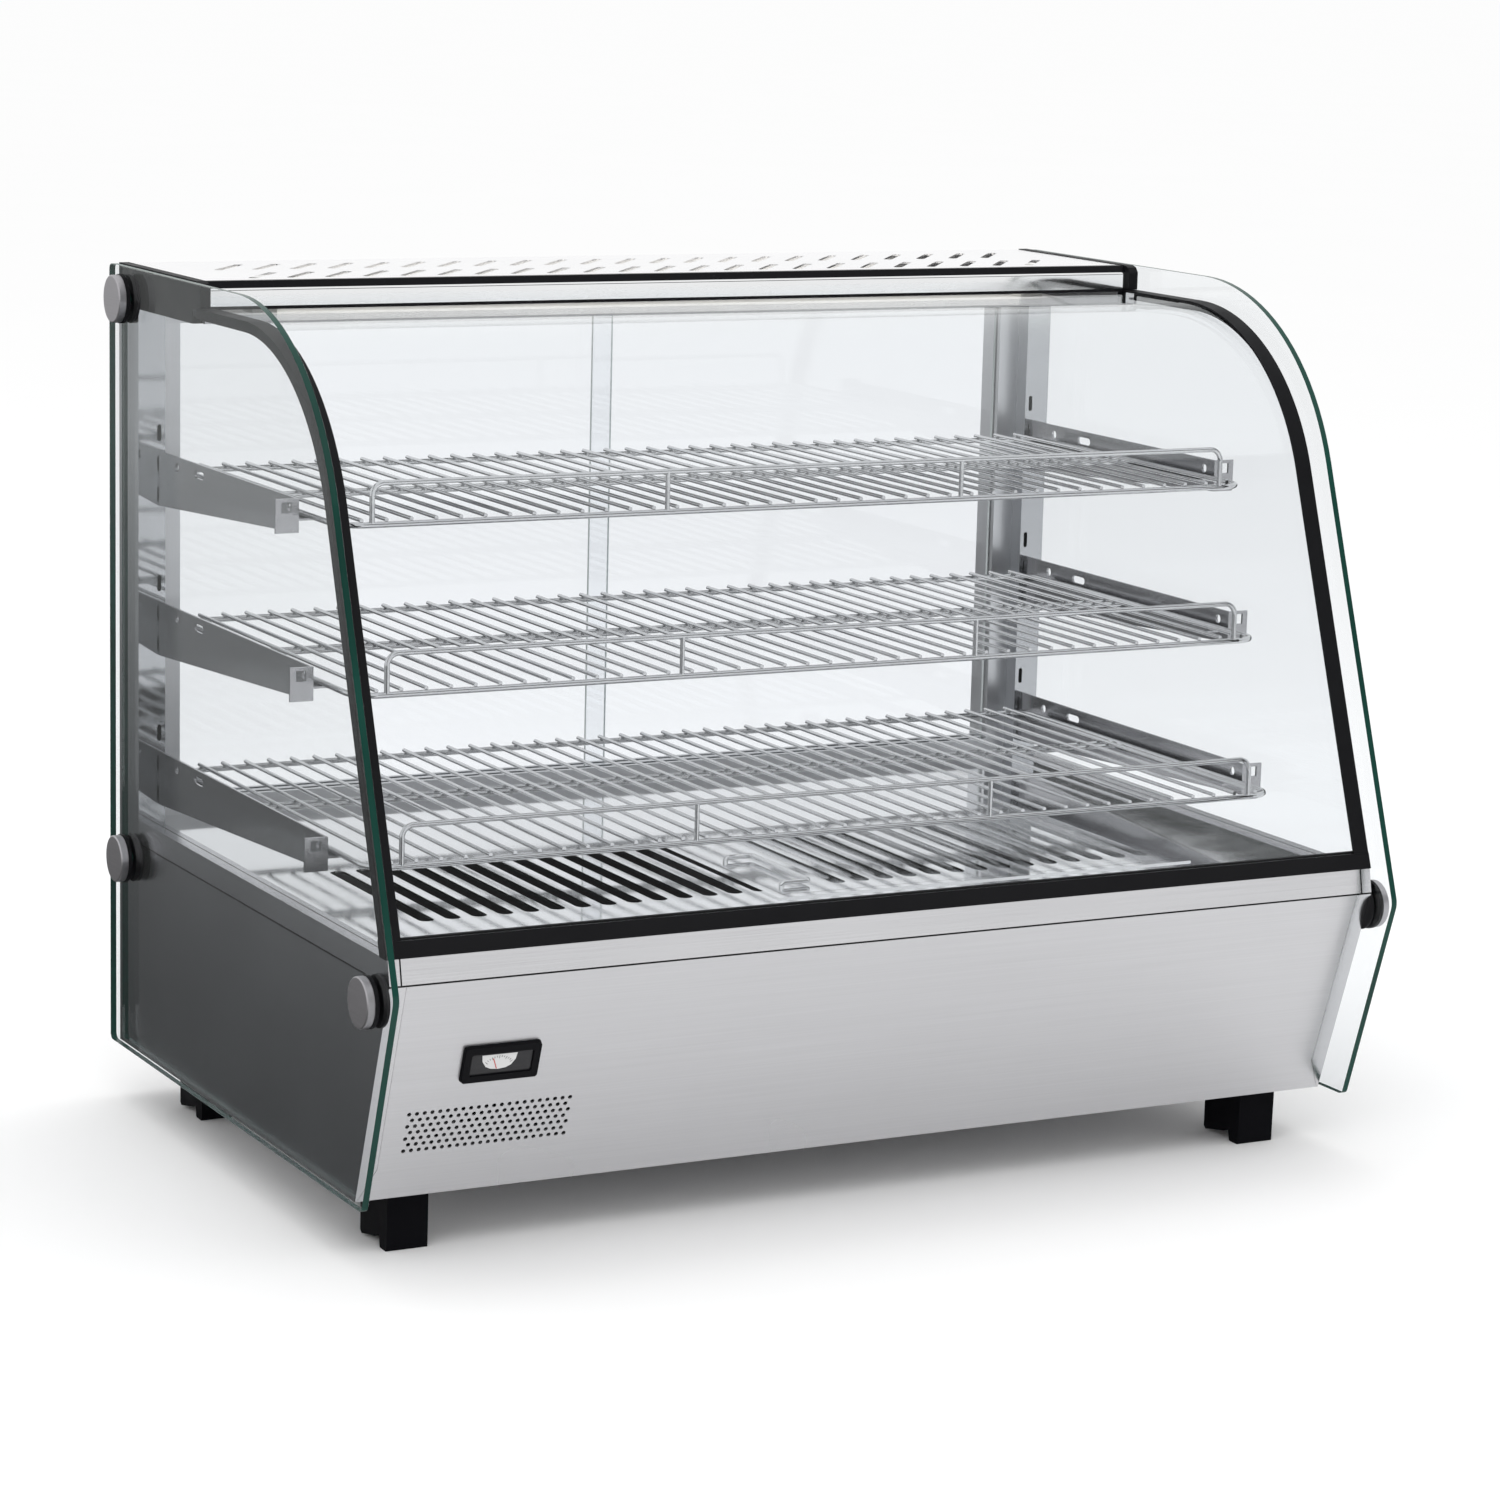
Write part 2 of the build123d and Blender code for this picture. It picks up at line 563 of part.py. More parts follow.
def rear_panel():
    x_low, x_high, z_low, z_high = RECESS
    post_in = BODY_X - POST_W
    with BuildPart() as panel:
        block(-post_in, post_in, BODY_REAR_Y - SHEET, BODY_REAR_Y, BASE_Z, DECK_Z)
        block(x_low, x_high, BODY_REAR_Y - 3, BODY_REAR_Y + 1, z_low, z_high, Mode.SUBTRACT)
        with BuildSketch(Plane.XZ.offset(-BODY_REAR_Y - 1)):
            with Locations((-245, 88)):
                with GridLocations(26, 12, 10, 4):
                    SlotOverall(20, 4)
        extrude(amount=4, mode=Mode.SUBTRACT)
        rear_screw_holes(BODY_REAR_Y)
    save(panel, "rear_panel")

    with BuildPart() as recess:
        block(x_low, x_high, RECESS_BACK_Y, BODY_REAR_Y, z_low, z_high)
        block(x_low + SHEET, x_high - SHEET, RECESS_BACK_Y + SHEET, BODY_REAR_Y + 1,
              z_low + SHEET, z_high - SHEET, Mode.SUBTRACT)
        with BuildSketch(Plane.XZ.offset(-RECESS_BACK_Y + 1)):
            with Locations((KNOB_X, CONTROL_Z)):
                Circle(4)
            with Locations((POWER_X, CONTROL_Z), (LIGHT_X, CONTROL_Z)):
                Rectangle(19, 30)
            with Locations((GLAND_X, CONTROL_Z)):
                Circle(8)
        extrude(amount=-5, mode=Mode.SUBTRACT)
    save(recess, "control_recess")


def controls():
    face_y = RECESS_BACK_Y + SHEET
    with BuildPart() as thermostat:
        block(KNOB_X - 22, KNOB_X + 22, RECESS_BACK_Y - 32, RECESS_BACK_Y, CONTROL_Z - 18, CONTROL_Z + 18)
        with BuildSketch(Plane.XZ.offset(-RECESS_BACK_Y)):
            with Locations((KNOB_X, CONTROL_Z)):
                Circle(3)
        extrude(amount=-9)
    save(thermostat, "thermostat")

    with BuildPart() as knob:
        with BuildSketch(Plane.XZ.offset(-face_y - 0.5)):
            with Locations((KNOB_X, CONTROL_Z)):
                Circle(19)
        extrude(amount=-5)
        with BuildSketch(Plane.XZ.offset(-face_y - 5.5)):
            with Locations((KNOB_X, CONTROL_Z)):
                Circle(15)
        extrude(amount=-11, taper=4)
        block(KNOB_X - 1.2, KNOB_X + 1.2, face_y + 15, face_y + 17, CONTROL_Z + 3, CONTROL_Z + 13.5,
              Mode.SUBTRACT)
        with BuildSketch(Plane.XZ.offset(-face_y)):
            with Locations((KNOB_X, CONTROL_Z)):
                Circle(3.05)
        extrude(amount=-9, mode=Mode.SUBTRACT)
    save(knob, "thermostat_knob")

    pivot_y = face_y - 3
    for name, x in (("power", POWER_X), ("light", LIGHT_X)):
        with BuildPart() as switch:
            block(x - 9.4, x + 9.4, RECESS_BACK_Y - 20, face_y, CONTROL_Z - 14.8, CONTROL_Z + 14.8)
            block(x - 11, x + 11, face_y, face_y + 2, CONTROL_Z - 16.5, CONTROL_Z + 16.5)
            block(x - 7.5, x + 7.5, face_y - 10, face_y + 3, CONTROL_Z - 12.5, CONTROL_Z + 12.5,
                  Mode.SUBTRACT)
            x_cylinders(x - 8.6, 17.2, 1.55, Mode.SUBTRACT, places=[(pivot_y, CONTROL_Z)])
        save(switch, f"{name}_switch")

        tilt = ROCKER_TILT * pi / 180
        with BuildPart() as rocker:
            with BuildSketch(Plane(origin=(x - 7, pivot_y, CONTROL_Z), x_dir=(0, cos(tilt), sin(tilt)),
                                   z_dir=(1, 0, 0))):
                with BuildLine():
                    Polyline((-3, -6), (0.5, -11), (6, -11), (4, 0), (6, 11), (0.5, 11), (-3, 6),
                             close=True)
                make_face()
            extrude(amount=14)
            x_cylinders(x - 8.4, 16.8, 1.5, places=[(pivot_y, CONTROL_Z)])
        save(rocker, f"{name}_rocker")

    with BuildPart() as gland:
        with BuildSketch(Plane.XZ.offset(-face_y)):
            with Locations((GLAND_X, CONTROL_Z)):
                RegularPolygon(12, 6)
        extrude(amount=-6)
        with BuildSketch(Plane.XZ.offset(-face_y - 6)):
            with Locations((GLAND_X, CONTROL_Z)):
                Circle(10)
        extrude(amount=-9, taper=8)
        with BuildSketch(Plane.XZ.offset(-RECESS_BACK_Y + 12)):
            with Locations((GLAND_X, CONTROL_Z)):
                Circle(7.9)
        extrude(amount=-12 - SHEET)
        with BuildSketch(Plane.XZ.offset(-RECESS_BACK_Y + 5)):
            with Locations((GLAND_X, CONTROL_Z)):
                RegularPolygon(12, 6)
        extrude(amount=-5)
        with BuildSketch(Plane.XZ.offset(-RECESS_BACK_Y + 13)):
            with Locations((GLAND_X, CONTROL_Z)):
                Circle(4)
        extrude(amount=-40, mode=Mode.SUBTRACT)
    save(gland, "cable_gland")


def rear_post(side):
    x0, wide = span(side, BODY_X - POST_W, BODY_X)
    with BuildPart() as post:
        block(x0, x0 + wide, POST_FRONT_Y, BODY_REAR_Y, BASE_Z, HOUSING_Z)
        block(x0 + SHEET, x0 + wide - SHEET, POST_FRONT_Y + SHEET, BODY_REAR_Y - SHEET,
              BASE_Z - 1, HOUSING_Z + 1, Mode.SUBTRACT)
        with BuildSketch(Plane.XZ.offset(-POST_FRONT_Y + 1)):
            for z, _ in SHELF_LEVELS.values():
                z_top = z + BRACKET_RISE
                for slot_z in (*hook_heights(z_top), z_top + SPARE_SLOT_RISE):
                    with Locations((side * BRACKET_X, slot_z)):
                        SlotOverall(13, 3.4, rotation=90)
        extrude(amount=-3, mode=Mode.SUBTRACT)
        x0, thick = span(side, BODY_X - 2 * SHEET, BODY_X + 1)
        x_cylinders(x0, thick, BOLT_HOLE_R, Mode.SUBTRACT, places=BUTTONS[1:2])
    return post


def door_frame():
    post_in = BODY_X - POST_W
    groove = DOOR_T + 2
    for name, low, opening in (("lower", DECK_Z, DECK_Z + TRACK_H), ("upper", HOUSING_Z - TRACK_H, None)):
        with BuildPart() as track:
            block(-post_in, post_in, TRACK_FRONT_Y, BODY_REAR_Y, low, low + TRACK_H)
            for y in (FRONT_DOOR_Y, REAR_DOOR_Y):
                cut_low = low + 5 if opening else low - 1
                block(-post_in + 4, post_in - 4, y - groove / 2, y + groove / 2, cut_low,
                      cut_low + TRACK_H - 4, Mode.SUBTRACT)
        save(track, f"door_track_{name}")

    with BuildPart() as stiles:
        for side in SIDES.values():
            x0, wide = span(side, post_in - STILE_W, post_in)
            block(x0, x0 + wide, TRACK_FRONT_Y, BODY_REAR_Y, DECK_Z + TRACK_H, HOUSING_Z - TRACK_H)
    save(stiles, "door_stiles")


def doors():
    edge = BODY_X - POST_W - STILE_W - DOOR_CLEAR
    low, high = DECK_Z + 5.5, HOUSING_Z - 7
    for name, side, y in (("left", -1, REAR_DOOR_Y), ("right", 1, FRONT_DOOR_Y)):
        x_a, x_b = sorted((side * edge, -side * DOOR_OVERLAP))
        with BuildPart() as door:
            block(x_a, x_b, y - DOOR_T / 2, y + DOOR_T / 2, low, high)
            fillet(door.edges().filter_by(Axis.Y), 3)
            chamfer(door.faces().filter_by(Axis.Y).edges().filter_by(GeomType.LINE), 0.5)
        save(door, f"door_{name}_glass")


def end_gaskets():
    """The black end caps between the top housing and the side glasses."""
    glass_top = TOP_Z - GLASS_DEPTH
    outline = [(BODY_REAR_Y, HOUSING_Z), (GLASS_REAR_Y, HOUSING_Z), (GLASS_REAR_Y, glass_top),
               (HOUSING_FRONT_Y, glass_top), (HOUSING_FRONT_Y, glass_top + 2), (CAP_NOSE_Y, glass_top + 2),
               (CAP_NOSE_Y, TRIM_Z), (CAP_NOSE_Y + 3, TOP_Z - 1), (CAP_NOSE_Y + 8, TOP_Z + 0.5),
               (BODY_REAR_Y, TOP_Z + 0.5)]
    with BuildPart() as gaskets:
        for side in SIDES.values():
            x0, thick = span(side, HOUSING_X, BODY_X)
            yz_plate(outline, x0, thick)
            x_cylinders(x0, thick, BOLT_HOLE_R, Mode.SUBTRACT, places=BUTTONS[:1])
    save(gaskets, "end_gaskets")


def top_housing():
    glass_top = TOP_Z - GLASS_DEPTH
    wide = 2 * HOUSING_X
    with BuildPart() as front:
        yz_plate([(HOUSING_FRONT_Y, glass_top + 2.5), (HOUSING_FRONT_Y, TRIM_Z),
                  (HOUSING_FRONT_Y + 12, TRIM_Z), (HOUSING_FRONT_Y + 12, glass_top + 2.5)],
                 -HOUSING_X, wide)
        fillet(front.edges().filter_by(Axis.X).group_by(Axis.Y)[0].sort_by(Axis.Z)[-1], 2)
    save(front, "housing_front")

    with BuildPart() as trim:
        yz_plate([(HOUSING_FRONT_Y + 1.5, TRIM_Z), (COVER_FRONT_Y + 1, TOP_Z), (COVER_FRONT_Y + 7, TOP_Z),
                  (COVER_FRONT_Y + 7, TRIM_Z)], -HOUSING_X, wide)
    save(trim, "housing_trim")

    with BuildPart() as cover:
        start = COVER_FRONT_Y + 7
        block(-HOUSING_X, HOUSING_X, start, BODY_REAR_Y, TOP_Z - SHEET, TOP_Z)
        block(-HOUSING_X, HOUSING_X, BODY_REAR_Y - SHEET, BODY_REAR_Y, HOUSING_Z, TOP_Z)
        rear_screw_holes(BODY_REAR_Y)
        with BuildSketch(Plane.XY.offset(TOP_Z + 1)):
            with Locations((0, 160), (0, 232)):
                with GridLocations(31, 1, 23, 1):
                    SlotOverall(58, 7, rotation=52)
        extrude(amount=-4, mode=Mode.SUBTRACT)
    save(cover, "housing_cover")

    with BuildPart() as tray:
        rear = BODY_REAR_Y - SHEET
        block(-HOUSING_X, HOUSING_X, COVER_FRONT_Y + 2, rear, HOUSING_Z, HOUSING_Z + SHEET)
        block(-HOUSING_X, HOUSING_X, COVER_FRONT_Y + 2, COVER_FRONT_Y + 2 + SHEET, HOUSING_Z,
              HOUSING_Z + 6)
        block(-HOUSING_X, HOUSING_X, rear - SHEET, rear, HOUSING_Z, HOUSING_Z + 14)
        for side in SIDES.values():
            x0, thick = span(side, HOUSING_X - SHEET, HOUSING_X)
            block(x0, x0 + thick, GLASS_REAR_Y, rear, HOUSING_Z, TOP_Z - SHEET)
            x_cylinders(x0, thick, BOLT_HOLE_R, Mode.SUBTRACT, places=BUTTONS[:1])
        rear_screw_holes(rear)
        block(-360, 360, 150, 186, HOUSING_Z - 1, HOUSING_Z + 3, Mode.SUBTRACT)
    save(tray, "housing_tray")

    with BuildPart() as diffuser:
        block(-366, 366, 144, 192, HOUSING_Z + SHEET, HOUSING_Z + SHEET + 2)
    save(diffuser, "lamp_diffuser")

    with BuildPart() as lamp:
        with BuildSketch(Plane.YZ.offset(-330)):
            with Locations((168, HOUSING_Z + 15)):
                Circle(8)
        extrude(amount=660)
    save(lamp, "lamp_tube")

    with BuildPart() as holders:
        for x0 in (-350, 330):
            block(x0, x0 + 20, 158, 178, HOUSING_Z + SHEET + 2, TOP_Z - SHEET)
    save(holders, "lamp_holders")


def bracket(side, level):
    """Cantilever arm: tapered plate, ledge under the shelf's side wire, rear hooks, tip tab."""
    z, shelf_front = SHELF_LEVELS[level]
    z_top = z + BRACKET_RISE
    tip = shelf_front + BRACKET_TIP
    ledge_top = z - FRAME_R
    x0, thick = span(side, BRACKET_X - BRACKET_T / 2, BRACKET_X + BRACKET_T / 2)
    with BuildPart() as arm:
        yz_plate([(POST_FRONT_Y, z_top), (tip, z_top), (tip, z_top - BRACKET_TIP_H),
                  (POST_FRONT_Y, z_top - BRACKET_REAR_H)], x0, thick)
        x_tab, wide = span(side, BRACKET_X - BRACKET_T / 2, TAB_X)
        block(x_tab, x_tab + wide, tip, tip + BRACKET_T, z_top - BRACKET_TIP_H, z_top)
        x_tab, wide = span(side, TAB_X - 12.5, TAB_X - 4.5)
        block(x_tab, x_tab + wide, tip - 1, tip + BRACKET_T + 1, z_top - 10.5, z_top - 2.5, Mode.SUBTRACT)
        wall = POST_FRONT_Y + SHEET + 0.1
        for hook_z in hook_heights(z_top):
            yz_plate([(POST_FRONT_Y - 1, hook_z + 3), (wall + 2.4, hook_z + 3), (wall + 2.4, hook_z - 5.5),
                      (wall, hook_z - 5.5), (wall, hook_z - 3), (POST_FRONT_Y - 1, hook_z - 3)],
                     x0 + 0.2, thick - 0.4)
        x_ledge, wide = span(side, LEDGE_X, BRACKET_X)
        block(x_ledge, x_ledge + wide, tip + 3, POST_FRONT_Y - 4, ledge_top - SHEET, ledge_top)
        with BuildSketch(Plane.YZ.offset(x0 - 1)):
            with Locations((200, z_top - 8), (tip + 15, z_top - 8)):
                Circle(3.5)
            with Locations((152, z_top - 8)):
                SlotOverall(20, 6)
        extrude(amount=thick + 2, mode=Mode.SUBTRACT)
    return arm


def hook_heights(z_top):
    """Heights of a bracket's hooks and of their slots in the post."""
    return [z_top - drop for drop in HOOK_DROPS]


def shelf(level):
    z, front = SHELF_LEVELS[level]
    bar_z = z + FRAME_R + BAR_R - WELD
    with BuildPart() as rack:
        bent_wire([(-SHELF_X, SHELF_REAR_Y, z), (SHELF_X, SHELF_REAR_Y, z), (SHELF_X, front, z),
                   (-SHELF_X, front, z)], FRAME_R, 20, closed=True)
        for y in (SHELF_MID_Y - 7, SHELF_MID_Y + 7):
            wire((-SHELF_X, y, z + 0.3), (SHELF_X, y, z + 0.3), FRAME_R - 0.5)
        for n in range(BAR_COUNT):
            x = (n - (BAR_COUNT - 1) / 2) * BAR_PITCH
            wire((x, front + 0.7, bar_z), (x, SHELF_REAR_Y + 5, bar_z), BAR_R)
        guard_z = z + GUARD_H
        bent_wire([(-GUARD_X, front, z), (-GUARD_X, front, guard_z), (GUARD_X, front, guard_z),
                   (GUARD_X, front, z)], GUARD_R, 9)
        for x in (-UPRIGHT_X, UPRIGHT_X):
            wire((x, front, z), (x, front, guard_z), GUARD_R - 0.2)
    save(rack, f"shelf_{level}")


def heater():
    left, right, front, rear = SHIELD
    low_x, high_x = left + 20, right - 20
    rows = [front + 26, (front + rear) / 2, rear - 26]
    ends = [(low_x, rows[0]), (high_x, rows[2])]
    with BuildPart() as element:
        bent_wire([(low_x, rows[0], SHIELD_Z - 14), (low_x, rows[0], ELEMENT_Z),
                   (high_x, rows[0], ELEMENT_Z), (high_x, rows[1], ELEMENT_Z),
                   (low_x, rows[1], ELEMENT_Z), (low_x, rows[2], ELEMENT_Z),
                   (high_x, rows[2], ELEMENT_Z), (high_x, rows[2], SHIELD_Z - 14)], 4, 24)
        with BuildSketch(Plane.XY.offset(SHIELD_Z)):
            with Locations(*ends):
                RegularPolygon(9, 6)
        extrude(amount=6)
    save(element, "heating_element")

    with BuildPart() as shield:
        block(left, right, front, rear, SHIELD_Z - SHEET, SHIELD_Z)
        for x in (left, right - SHEET):
            block(x, x + SHEET, front, rear, BASE_Z + SHEET, SHIELD_Z)
        for x in (left - 12, right):
            block(x, x + 12, front, rear, BASE_Z + SHEET, BASE_Z + 2 * SHEET)
        with BuildSketch(Plane.XY.offset(SHIELD_Z - 3)):
            with Locations(*ends):
                Circle(4.5)
        extrude(amount=6, mode=Mode.SUBTRACT)
    save(shield, "heat_shield")


def terminal_block():
    with BuildPart() as block_part:
        block(90, 150, 200, 224, BASE_Z + SHEET, BASE_Z + 24)
        for n in range(5):
            x = 98 + n * 11
            block(x - 3, x + 3, 196, 228, BASE_Z + 12, BASE_Z + 25, Mode.SUBTRACT)
    save(block_part, "terminal_block")


def rear_screws():
    with BuildPart() as screws:
        with BuildSketch(Plane.XZ.offset(-BODY_REAR_Y)):
            with Locations(*SCREWS):
                Circle(3.6)
        extrude(amount=-1.4)
        fillet(screws.faces().sort_by(Axis.Y)[-len(SCREWS):].edges(), 0.6)
        with BuildSketch(Plane.XZ.offset(-BODY_REAR_Y)):
            with Locations(*SCREWS):
                Circle(SCREW_R)
        extrude(amount=7)
        for x, z in SCREWS:
            block(x - 2.2, x + 2.2, BODY_REAR_Y + 0.8, BODY_REAR_Y + 2, z - 0.4, z + 0.4, Mode.SUBTRACT)
            block(x - 0.4, x + 0.4, BODY_REAR_Y + 0.8, BODY_REAR_Y + 2, z - 2.2, z + 2.2, Mode.SUBTRACT)
    save(screws, "rear_screws")


def main():
    os.makedirs("parts", exist_ok=True)
    for name, side in SIDES.items():
        save(side_glass(side), f"side_glass_{name}")
        save(side_seal(side), f"side_seal_{name}")
        save(side_panel(side), f"side_panel_{name}")
        save(rear_post(side), f"rear_post_{name}")
        for level in SHELF_LEVELS:
            save(bracket(side, level), f"bracket_{level}_{name}")
    for level in SHELF_LEVELS:
        shelf(level)
    for build in (glass_fixings, curved_glass, end_seals, front_panel, thermometer, top_rim,
                  floor_plate, water_tray, base_pan, feet, rear_panel, controls, door_frame,
                  doors, end_gaskets, top_housing, heater, terminal_block, rear_screws):
        build()


main()
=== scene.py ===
"""Hot food display case: surface finishes, small fittings, light and camera around the CAD frame."""
from math import cos, radians, sin

import bmesh
import bpy
from mathutils import Matrix, Vector


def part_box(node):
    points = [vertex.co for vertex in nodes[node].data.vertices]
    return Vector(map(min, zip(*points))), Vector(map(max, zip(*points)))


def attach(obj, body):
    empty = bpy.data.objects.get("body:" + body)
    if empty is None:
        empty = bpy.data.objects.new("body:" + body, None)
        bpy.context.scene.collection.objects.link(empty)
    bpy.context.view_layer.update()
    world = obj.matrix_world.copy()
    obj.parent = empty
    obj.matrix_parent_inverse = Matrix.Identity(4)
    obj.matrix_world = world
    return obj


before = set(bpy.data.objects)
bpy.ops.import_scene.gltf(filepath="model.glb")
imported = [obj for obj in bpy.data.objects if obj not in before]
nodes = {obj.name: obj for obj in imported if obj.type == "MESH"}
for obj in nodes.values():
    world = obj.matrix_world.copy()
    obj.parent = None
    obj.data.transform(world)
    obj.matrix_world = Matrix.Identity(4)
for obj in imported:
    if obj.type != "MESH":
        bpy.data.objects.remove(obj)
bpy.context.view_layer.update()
scene = bpy.context.scene


# ---------------------------------------------------------------- materials
# painted shade: the black drawn into the gap under the rim and into the rim's end joints
GAP_SHADE_BLACK = (0.02, 0.02, 0.02)
LAMP_WHITE = (1, 0.97, 0.92)
ROUGH_SWING = 0.15  # how far roughness varies over a surface, as a share of itself
MIRROR_LEAST, MIRROR_GAIN, MIRROR_POWER = 0.032, 0.5, 5  # share of a pane's light that it mirrors
CUT_EDGE_TURN = 0.35  # a face whose normal has less than this along edge_axis is a cut edge
EDGE_ROUGH, EDGE_SHINE = 0.25, 0.2


class Finish:
    """One node material with a Principled shader, and short ways to drive its sockets."""

    def __init__(self, name, color, rough, metal=0.0):
        self.mat = bpy.data.materials.new(name)
        self.mat.use_nodes = True
        self.tree = self.mat.node_tree
        self.tree.nodes.clear()
        self.out = self.add("ShaderNodeOutputMaterial")
        self.bsdf = self.add("ShaderNodeBsdfPrincipled")
        self.bsdf.inputs["Base Color"].default_value = (*color, 1)
        self.bsdf.inputs["Roughness"].default_value = rough
        self.bsdf.inputs["Metallic"].default_value = metal
        self.join(self.bsdf.outputs[0], self.out.inputs["Surface"])
        self.coords = self.add("ShaderNodeTexCoord").outputs["Object"]

    def add(self, kind, **settings):
        node = self.tree.nodes.new(kind)
        for key, value in settings.items():
            setattr(node, key, value)
        return node

    def join(self, source, target):
        self.tree.links.new(source, target)

    def noise(self, scale, detail=4.0, rough=0.55):
        """Noise in object space, scale cycles per metre along X, Y and Z."""
        mapping = self.add("ShaderNodeMapping")
        mapping.inputs["Scale"].default_value = scale
        self.join(self.coords, mapping.inputs["Vector"])
        node = self.add("ShaderNodeTexNoise")
        node.inputs["Scale"].default_value = 1.0
        node.inputs["Detail"].default_value = detail
        node.inputs["Roughness"].default_value = rough
        self.join(mapping.outputs[0], node.inputs["Vector"])
        return node.outputs["Fac"]

    def spread(self, source, low, high, start=0.3, end=0.7):
        """A value from low to high as source goes from start to end."""
        node = self.add("ShaderNodeMapRange")
        for key, value in zip(("From Min", "From Max", "To Min", "To Max"), (start, end, low, high)):
            node.inputs[key].default_value = value
        self.join(source, node.inputs["Value"])
        return node.outputs[0]

    def blend(self, factor, first, second):
        """A colour between first and second."""
        node = self.add("ShaderNodeMix", data_type="RGBA")
        node.inputs["A"].default_value = (*first, 1)
        node.inputs["B"].default_value = (*second, 1)
        self.join(factor, node.inputs["Factor"])
        return node.outputs["Result"]

    def color(self, factor, first, second):
        self.join(self.blend(factor, first, second), self.bsdf.inputs["Base Color"])

    def color_with_gap_shade(self, factor, first, second, axis, low, high):
        """As color(), but black where the distance from the middle is between low and high: painted shade
        in a gap.
        """
        parts = self.add("ShaderNodeSeparateXYZ")
        self.join(self.coords, parts.inputs[0])
        size = self.add("ShaderNodeMath", operation="ABSOLUTE")
        self.join(parts.outputs[axis], size.inputs[0])
        near = self.add("ShaderNodeMath", operation="COMPARE")
        near.inputs[1].default_value = (low + high) / 2
        near.inputs[2].default_value = (high - low) / 2
        self.join(size.outputs[0], near.inputs[0])
        node = self.add("ShaderNodeMix", data_type="RGBA")
        node.inputs["B"].default_value = (*GAP_SHADE_BLACK, 1)
        self.join(self.blend(factor, first, second), node.inputs["A"])
        self.join(near.outputs[0], node.inputs["Factor"])
        self.join(node.outputs["Result"], self.bsdf.inputs["Base Color"])

    def roughness(self, source, low, high, start=0.3, end=0.7):
        self.join(self.spread(source, low, high, start, end), self.bsdf.inputs["Roughness"])

    def cloudy_roughness(self, source, rough):
        self.roughness(source, rough * (1 - ROUGH_SWING), rough * (1 + ROUGH_SWING))

    def bump(self, source, strength, distance):
        node = self.add("ShaderNodeBump")
        node.inputs["Strength"].default_value = strength
        node.inputs["Distance"].default_value = distance
        self.join(source, node.inputs["Height"])
        self.join(node.outputs[0], self.bsdf.inputs["Normal"])


def shade(color, factor):
    return tuple(min(1.0, c * factor) for c in color)


def brushed(name, color, rough, grain, streak=0.10, gap=None):
    """Brushed sheet: fine streaks along the axis whose grain number is small.

    gap is (axis, low, high): between those distances from the middle it is painted black, as painted
    shade in the gap.
    """
    made = Finish(name, color, rough, 1.0)
    fine = made.noise(grain, 3.0, 0.6)
    cloud = made.noise((5, 5, 5), 2.0)
    if gap:
        made.color_with_gap_shade(fine, shade(color, 1 - streak), shade(color, 1 + streak), *gap)
    else:
        made.color(fine, shade(color, 1 - streak), shade(color, 1 + streak))
    made.cloudy_roughness(cloud, rough)
    made.bump(fine, 0.12, 0.0004)
    return made.mat


def polished(name, color, rough):
    """Bright polished metal with faint wiping marks."""
    made = Finish(name, color, rough, 1.0)
    wipe = made.noise((14, 22, 18), 5.0, 0.65)
    made.color(wipe, shade(color, 0.96), shade(color, 1.03))
    made.roughness(wipe, rough * 0.6, rough * 1.5)
    made.bump(made.noise((9, 9, 9), 1.0), 0.05, 0.002)
    return made.mat


def moulded(name, color, rough, grain=900, depth=0.00015, lift=1.35, shine=0.5,
             glow=0.0, metal=0.0):
    """Moulded plastic or rubber with a fine skin texture."""
    made = Finish(name, color, rough, metal)
    made.bsdf.inputs["Specular IOR Level"].default_value = shine
    if glow:
        made.bsdf.inputs["Emission Color"].default_value = (*LAMP_WHITE, 1)
        made.bsdf.inputs["Emission Strength"].default_value = glow
    skin = made.noise((grain, grain, grain), 2.0)
    cloud = made.noise((30, 30, 30), 3.0)
    made.color(cloud, color, shade(color, lift))
    made.cloudy_roughness(cloud, rough)
    made.bump(skin, 0.25, depth)
    return made.mat


